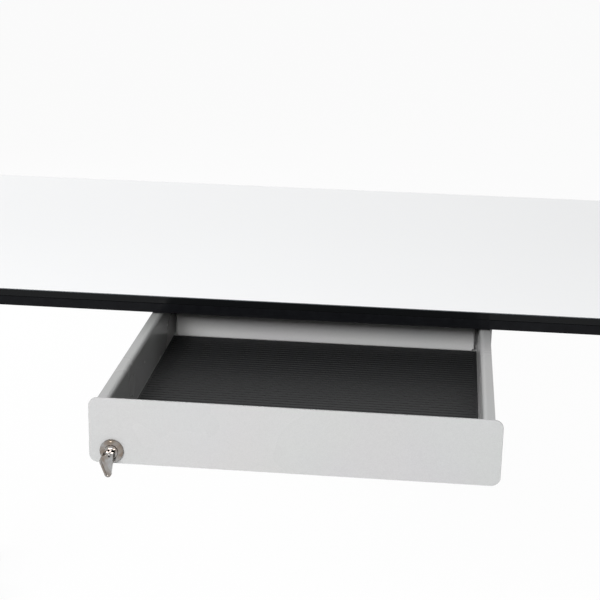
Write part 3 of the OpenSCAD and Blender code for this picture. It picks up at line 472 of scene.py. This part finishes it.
def fixings_tree():
    """The same head and shank at each point, its head turned the way that the point's own attribute says."""
    shank_sides = 16
    tree, given, result = new_tree("fixings", ["Head", "Shank", "Length"], with_object=True)
    pattern = add_node(tree, "GeometryNodeObjectInfo", None, {"Object": given["Pattern"]})
    head = add_node(tree, "GeometryNodeTransform", None, {
        "Geometry": pattern.outputs["Geometry"], "Scale": given["Head"]})
    rod = add_node(tree, "GeometryNodeMeshCylinder", None, {
        "Vertices": shank_sides, "Radius": calculated(tree, "MULTIPLY", given["Shank"], HALF),
        "Depth": given["Length"]})
    below = vector_of(tree, Z=calculated(tree, "MULTIPLY", given["Length"], -HALF))
    shank = add_node(tree, "GeometryNodeTransform", None, {
        "Geometry": rod.outputs["Mesh"], "Translation": below})
    fixing = add_node(tree, "GeometryNodeJoinGeometry", None, {"Geometry": head.outputs["Geometry"]})
    tree.links.new(shank.outputs["Geometry"], fixing.inputs["Geometry"])
    facing = add_node(tree, "GeometryNodeInputNamedAttribute", {"data_type": "FLOAT_VECTOR"}, {
        "Name": FACING})
    turn = add_node(tree, "FunctionNodeAlignRotationToVector", {"axis": "Z"}, {
        "Vector": facing.outputs["Attribute"]})
    fixings = add_node(tree, "GeometryNodeInstanceOnPoints", None, {
        "Points": given["Geometry"], "Instance": fixing.outputs["Geometry"],
        "Rotation": turn.outputs["Rotation"]})
    end_tree(tree, given, result, fixings.outputs["Instances"])
    return tree


def weld_tree():
    """Overlapping drops of weld metal along a path, as one ripple bead."""
    drop_steps = 2
    tree, given, result = new_tree("weld_bead", ["Pitch", "Bead"])
    path = add_node(tree, "GeometryNodeMeshToCurve", None, {"Mesh": given["Geometry"]})
    spots = add_node(tree, "GeometryNodeCurveToPoints", {"mode": "LENGTH"}, {
        "Curve": path.outputs["Curve"], "Length": given["Pitch"]})
    drop = add_node(tree, "GeometryNodeMeshIcoSphere", None, {
        "Subdivisions": drop_steps, "Radius": given["Bead"]})
    beads = add_node(tree, "GeometryNodeInstanceOnPoints", None, {
        "Points": spots.outputs["Points"], "Instance": drop.outputs["Mesh"]})
    end_tree(tree, given, result, beads.outputs["Instances"])
    return tree


# Mat of the drawer

def ribbed_mat():
    """Half-round ribs on a thin base with a plain border, in two strips about the lock's notch."""
    rib_pitch_mm, rib_mm, border_mm = 8.0, 0.9, 3.0
    low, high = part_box("drawer_mat")
    base_top = high[2] - rib_mm * MM
    both = merged("drawer_mat")
    for corner in both.verts:
        corner.co.z = min(corner.co.z, base_top)
    corners = [corner.co for corner in both.verts if corner.co.z > (low[2] + base_top) / 2]
    notch_x = min(corner.x for corner in corners if corner.x > low[0] + border_mm * MM)
    notch_y = min(corner.y for corner in corners if corner.y > low[1] + border_mm * MM)
    tree = ribs_tree()
    for left, front, back in ((notch_x, low[1], notch_y), (low[0], notch_y, high[1])):
        strip = grown("mat_strip", points_mesh("mat_seed", [(0, 0, 0)]), tree, {
            "Width": high[0] - left - 2 * border_mm * MM, "Length": back - front,
            "Pitch": rib_pitch_mm * MM, "Rib": rib_mm * MM, "Finish": FINISHES["mat"]})
        strip.data.transform(Matrix.Translation(((left + high[0]) / 2, front, base_top)))
        both.from_mesh(strip.data)
        bpy.data.objects.remove(strip)
    mat = new_piece("drawer_mat_ribs", written(both, bpy.data.meshes.new("drawer_mat_ribs")))
    finish_piece(mat, FINISHES["mat"], "drawer", "mat", "drawer_mat")


# Fixings: heads drawn one unit across, on the z = 0 plane

def domed_head(name, dome, rise):
    """A plain round head."""
    head_sides = 24
    return new_piece(name, lathe(name, [(radius, share * rise) for radius, share in dome], head_sides))


def cross_recess_head(rise):
    """A domed screw head with a cross recess, cut by two crossing blades."""
    blade_w, blade_l, depth = 0.11, 0.56, 0.6
    head = domed_head("screw_head", SCREW_DOME, rise)
    work = bmesh.new()
    for width, length in ((blade_w, blade_l), (blade_l, blade_w)):
        placed = Matrix.Translation((0, 0, rise)) @ Matrix.Diagonal((width, length, 2 * depth * rise, 1))
        bmesh.ops.create_cube(work, size=1, matrix=placed)
    blades = new_piece("recess", written(work, bpy.data.meshes.new("recess")))
    recess = head.modifiers.new("recess", "BOOLEAN")
    recess.operation = "DIFFERENCE"
    recess.solver = "EXACT"
    recess.use_self = True
    recess.object = blades
    settle(head)
    bpy.data.objects.remove(blades)
    return head


def middle_of(points):
    """The middle of the box about some points."""
    return Vector([(min(p[axis] for p in points) + max(p[axis] for p in points)) / 2 for axis in range(3)])


def solids_of(name):
    """The corner points of each separate solid in a CAD node, in a fixed order."""
    order_digits = 4
    work = merged(name)
    left = set(work.verts)
    groups = []
    while left:
        group = []
        queue = [left.pop()]
        while queue:
            point = queue.pop()
            group.append(point.co.copy())
            for edge in point.link_edges:
                other = edge.other_vert(point)
                if other in left:
                    left.remove(other)
                    queue.append(other)
        groups.append(group)
    work.free()
    return sorted(groups, key=lambda group: tuple(round(value, order_digits) for value in middle_of(group)))


def head_seats(name, facing_of, head_height_mm):
    """Where each fixing of a CAD node has the underside of its head, and which way the head faces."""
    seats = []
    for solid in solids_of(name):
        middle = middle_of(solid)
        facing = Vector(facing_of(middle))
        reach = max(point.dot(facing) for point in solid) - head_height_mm * MM
        seats.append((middle + facing * (reach - middle.dot(facing)), facing))
    return seats


def set_fixings(name, seats, pattern, tree, head_mm, shank_mm, length_mm):
    """Replaces a CAD node of fixings by detailed ones in the same places."""
    finish = "zinc"
    mesh = points_mesh(name + "_places", [seat for seat, facing in seats])
    attribute = mesh.attributes.new(FACING, "FLOAT_VECTOR", "POINT")
    attribute.data.foreach_set("vector", [value for seat, facing in seats for value in facing])
    piece = grown(name + "_set", mesh, tree, {
        "Head": head_mm * MM, "Shank": shank_mm * MM, "Length": length_mm * MM, "Pattern": pattern,
        "Finish": FINISHES[finish]})
    smooth(piece.data, CRISP_DEG)
    finish_piece(piece, FINISHES[finish], BODY_OF[name], finish, name)


def all_fixings():
    """Screws through the slides, the hangers and the tilt brackets, and the rivets of the drawer's back."""
    head_mm, head_height_mm, shank_mm = 7.5, 1.6, 4.0
    rivet_head_mm, rivet_height_mm, rivet_mm, rivet_grip_mm = 8.64, 1.4, 4.8, 2.4
    tree = fixings_tree()
    screw = cross_recess_head(head_height_mm / head_mm)
    rivet = domed_head("rivet_head", RIVET_DOME, rivet_height_mm / rivet_head_mm)

    def inwards(middle):
        return (-math.copysign(1, middle.x), 0, 0)

    def outwards(middle):
        return (math.copysign(1, middle.x), 0, 0)

    def downwards(middle):
        return (0, 0, -1)

    def upwards(middle):
        return (0, 0, 1)

    lengths_and_ways = {
        "slide_inner_screws": (2.4, outwards), "slide_outer_screws": (3.2, inwards),
        "hanger_screws": (11.0, downwards), "bracket_screws": (14.0, downwards)}
    for name, (length_mm, facing_of) in lengths_and_ways.items():
        seats = head_seats(name, facing_of, head_height_mm)
        set_fixings(name, seats, screw, tree, head_mm, shank_mm, length_mm)
    both_ends = (head_seats("back_rivets", upwards, rivet_height_mm)
                 + head_seats("back_rivets", downwards, rivet_height_mm))
    set_fixings("back_rivets", both_ends, rivet, tree, rivet_head_mm, rivet_mm, rivet_grip_mm / 2)
    for pattern in (screw, rivet):
        bpy.data.objects.remove(pattern)


# Levelling feet

def levelling_feet():
    """A moulded disc with rounded rims and a threaded stud, for each levelling foot."""
    disc_r, disc_h, rim_r, cone_h, neck_r = 21.0, 6.0, 1.2, 11.5, 8.0
    stud_r, thread_depth, thread_pitch, stud_chamfer = 5.0, 0.6, 1.5, 1.0
    foot_sides = 40
    for name in [node for node in nodes if node.startswith("levelling_foot")]:
        low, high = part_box(name)
        stud_top = (high[2] - low[2]) / MM
        profile = [(0, 0), (disc_r - rim_r, 0), (disc_r, rim_r),
                   (disc_r, disc_h - rim_r), (disc_r - rim_r, disc_h),
                   (neck_r + rim_r, cone_h - rim_r), (neck_r, cone_h), (stud_r - thread_depth, cone_h)]
        turns = int((stud_top - stud_chamfer - cone_h) / thread_pitch)
        for turn in range(turns):
            base = cone_h + turn * thread_pitch
            profile.append((stud_r, base + thread_pitch / 2))
            profile.append((stud_r - thread_depth, base + thread_pitch))
        profile += [(stud_r - stud_chamfer, stud_top), (0, stud_top)]
        foot = new_piece(name + "_turned", lathe(name, [(r * MM, h * MM) for r, h in profile], foot_sides))
        middle = ((low[0] + high[0]) / 2, (low[1] + high[1]) / 2, low[2])
        foot.data.transform(Matrix.Translation(middle))
        finish_piece(foot, FINISHES["plastic"], name, "plastic", name)


# Weld beads

def weld_beads():
    """A bead round the foot of each column, where it stands on its base plate."""
    column_x, column_y, plate_top, half_w, half_d, corner = 655, 159, 71, 20, 40, 4
    bead_r, bead_pitch, bead_crisp_deg = 2.6, 2.2, 60
    quarter_deg, corner_steps = 90, 4
    ways = ((1, 1), (-1, 1), (-1, -1), (1, -1))
    tree = weld_tree()
    for name, side in (("column_left", LEFT), ("column_right", RIGHT)):
        path = []
        for quarter, (way_x, way_y) in enumerate(ways):
            middle_x = side * column_x + way_x * (half_w - corner)
            middle_y = column_y + way_y * (half_d - corner)
            for step in range(corner_steps + 1):
                angle = math.radians(quarter_deg * (quarter + step / corner_steps))
                path.append(((middle_x + corner * math.cos(angle)) * MM,
                             (middle_y + corner * math.sin(angle)) * MM, plate_top * MM))
        mesh = bpy.data.meshes.new(name + "_weld_path")
        mesh.from_pydata(path, [(i, (i + 1) % len(path)) for i in range(len(path))], [])
        bead = grown(name + "_weld", mesh, tree, {
            "Pitch": bead_pitch * MM, "Bead": bead_r * MM, "Finish": FINISHES["silver"]})
        smooth(bead.data, bead_crisp_deg)
        finish_piece(bead, FINISHES["silver"], "base", "silver")


finish_cad_nodes()
seated_back()
ribbed_mat()
all_fixings()
levelling_feet()
weld_beads()
for node_name, edge_mm in SOFT_EDGES_MM.items():
    softened(node_name, edge_mm)


# Stage, light and camera

def seen(tree):
    """1 for what the camera, a reflection or a clear piece shows, and 0 for light on the object."""
    path = add_node(tree, "ShaderNodeLightPath").outputs
    shown = calculated(tree, "MAXIMUM", path["Is Camera Ray"], path["Is Glossy Ray"])
    return calculated(tree, "MAXIMUM", shown, path["Is Transmission Ray"])


def studio_floor():
    """A wide pale floor that keeps the object's shadow and reads as near white to the camera."""
    reach_m = 60
    glow = 0.95
    mesh = bpy.data.meshes.new("floor")
    corner = reach_m / 2
    corners = [(-corner, -corner, 0), (corner, -corner, 0), (corner, corner, 0), (-corner, corner, 0)]
    mesh.from_pydata(corners, [], [(0, 1, 2, 3)])
    floor = new_piece("floor", mesh)
    material, tree = new_material("pale_floor")
    share = calculated(tree, "MULTIPLY", seen(tree), glow)
    paint = add_node(tree, "ShaderNodeBsdfDiffuse", None, {"Color": linear("#f2f2f2")})
    white = add_node(tree, "ShaderNodeEmission", None, {"Color": linear("#ffffff"), "Strength": 1.0})
    mix = add_node(tree, "ShaderNodeMixShader", None, {
        0: share, 1: paint.outputs[0], 2: white.outputs[0]})
    add_node(tree, "ShaderNodeOutputMaterial", None, {"Surface": mix.outputs[0]})
    mesh.materials.append(material)


def studio_world():
    """White to the eye and in reflections, and a soft even fill on the object."""
    fill = 0.18
    world = bpy.data.worlds.new("studio")
    bpy.context.scene.world = world
    world.use_nodes = True
    tree = world.node_tree
    tree.nodes.clear()
    soft = add_node(tree, "ShaderNodeBackground", None, {"Color": linear("#ffffff"), "Strength": fill})
    white = add_node(tree, "ShaderNodeBackground", None, {"Color": linear("#ffffff"), "Strength": 1.0})
    mix = add_node(tree, "ShaderNodeMixShader", None, {
        0: seen(tree), 1: soft.outputs[0], 2: white.outputs[0]})
    add_node(tree, "ShaderNodeOutputWorld", None, {"Surface": mix.outputs[0]})


def softbox(name, at, aim, size, watts, mirrored=False):
    """A rectangular studio lamp; one that isn't mirrored leaves no bright patch in the glass."""
    lamp = bpy.data.lights.new(name, "AREA")
    lamp.shape = "RECTANGLE"
    lamp.size, lamp.size_y = size
    lamp.energy = watts
    box = bpy.data.objects.new(name, lamp)
    bpy.context.scene.collection.objects.link(box)
    box.location = at
    box.visible_glossy = mirrored
    box.rotation_euler = (Vector(aim) - Vector(at)).to_track_quat("-Z", "Y").to_euler()


def turned_by(degrees, axis):
    """A turn about one axis, as a matrix for moving objects."""
    matrix_size = 4
    return Matrix.Rotation(math.radians(degrees), matrix_size, axis)


def photo_camera():
    """The photograph's viewpoint: in front of the drawer, a little to its right, looking down at it."""
    at = (0.1482, -1.9687, 1.3145)
    yaw, pitch, roll = 5.481, -17.187, 1.258
    level = 90
    lens_mm, sensor_mm = 90, 36
    data = bpy.data.cameras.new("photo_camera")
    data.lens = lens_mm
    data.sensor_width = sensor_mm
    camera = bpy.data.objects.new("photo_camera", data)
    bpy.context.scene.collection.objects.link(camera)
    turn = turned_by(yaw, "Z") @ turned_by(level + pitch, "X") @ turned_by(roll, "Z")
    camera.matrix_world = Matrix.Translation(at) @ turn
    bpy.context.scene.camera = camera


studio_floor()
studio_world()
# The front light is two lamps in one place: a wide one, and a small one that the chrome mirrors
softbox("front_softbox", at=(-0.8, -3.3, 2.25), aim=(0, -0.4, 0.7), size=(2.2, 0.7), watts=128)
softbox("glint_lamp", at=(-0.9, -3.3, 2.25), aim=(0, -0.4, 0.7), size=(0.45, 0.7), watts=30,
        mirrored=True)
softbox("overhead_softbox", at=(0.2, 1.6, 2.8), aim=(0, 0.1, 0.7), size=(3.0, 2.0), watts=17,
        mirrored=True)
softbox("rear_softbox", at=(-2.4, 2.6, 1.9), aim=(0, 0.2, 0.6), size=(2.0, 1.5), watts=65)
softbox("side_softbox", at=(3.1, 0.9, 0.5), aim=(0.4, 0.1, 0.45), size=(1.8, 0.65), watts=40)
photo_camera()
bpy.context.scene.view_settings.view_transform = "Standard"
